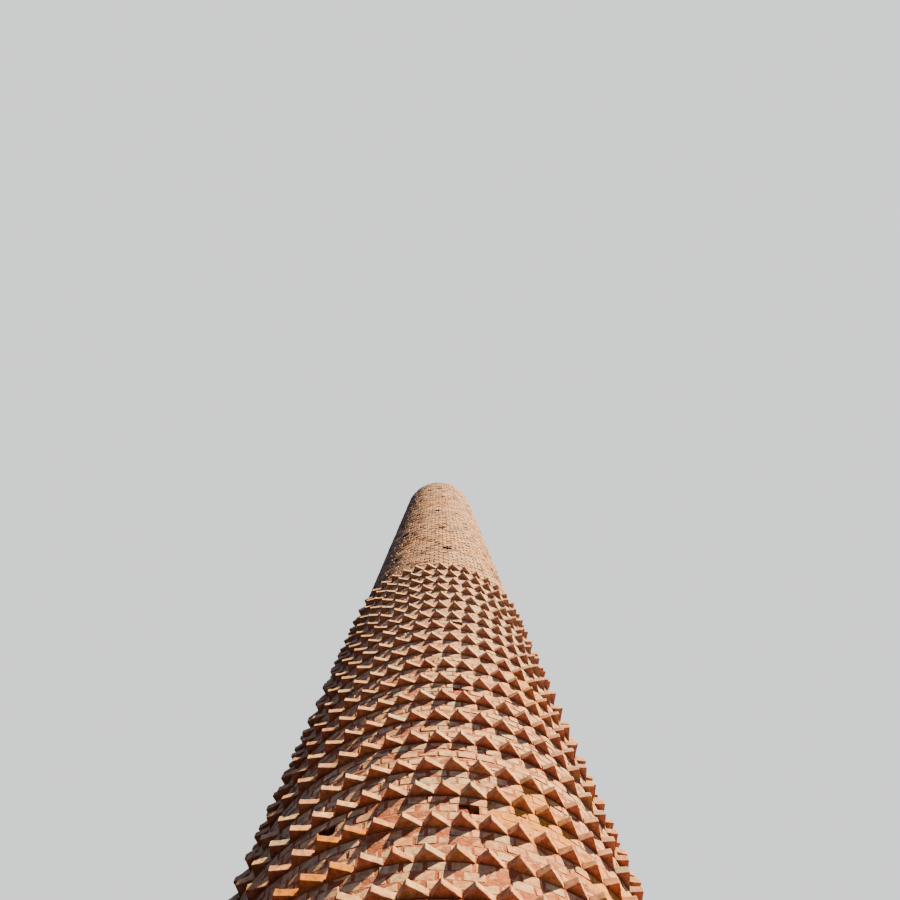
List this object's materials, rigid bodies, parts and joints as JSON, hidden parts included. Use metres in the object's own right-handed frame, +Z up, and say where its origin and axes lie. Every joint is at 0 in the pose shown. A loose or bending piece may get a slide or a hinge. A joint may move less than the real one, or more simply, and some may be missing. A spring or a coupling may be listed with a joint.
{
  "type": "round brick kiln chimney",
  "caption": "Tall round tapering brick chimney, hollow, with rows of bricks laid corner outward round its lower part, a plain upper shaft and an arched flue mouth.",
  "frame": {"origin": "on the chimney's axis, on the underside of the hearth floor at ground level", "axes": "+Z up along the axis, -Y towards the front that the picture shows, +Y towards the flue mouth"},
  "size_m": [3.6, 3.5617, 19.725],
  "materials": {
    "brick": "weathered fired clay",
    "flue_brick": "sooty fired clay"
  },
  "bodies": {
    "root": {"plinth_front": "brick", "plinth_right": "brick", "plinth_left": "brick", "plinth_back_right": "brick", "plinth_back_left": "brick", "plinth_back_top": "brick", "flue_arch": "flue_brick", "hearth_floor": "flue_brick", "toothed_wall_1_front": "brick", "toothed_wall_1_right": "brick", "toothed_wall_1_back": "brick", "toothed_wall_1_left": "brick", "toothed_wall_2_front": "brick", "toothed_wall_2_right": "brick", "toothed_wall_2_back": "brick", "toothed_wall_2_left": "brick", "toothed_wall_3_front": "brick", "toothed_wall_3_right": "brick", "toothed_wall_3_back": "brick", "toothed_wall_3_left": "brick", "toothed_wall_4_front": "brick", "toothed_wall_4_right": "brick", "toothed_wall_4_back": "brick", "toothed_wall_4_left": "brick", "toothed_wall_5_front": "brick", "toothed_wall_5_right": "brick", "toothed_wall_5_back": "brick", "toothed_wall_5_left": "brick", "shaft_wall_1_front": "brick", "shaft_wall_1_right": "brick", "shaft_wall_1_back": "brick", "shaft_wall_1_left": "brick", "shaft_wall_2_front": "brick", "shaft_wall_2_right": "brick", "shaft_wall_2_back": "brick", "shaft_wall_2_left": "brick", "shaft_wall_3_front": "brick", "shaft_wall_3_right": "brick", "shaft_wall_3_back": "brick", "shaft_wall_3_left": "brick"}
  },
  "joints": []
}
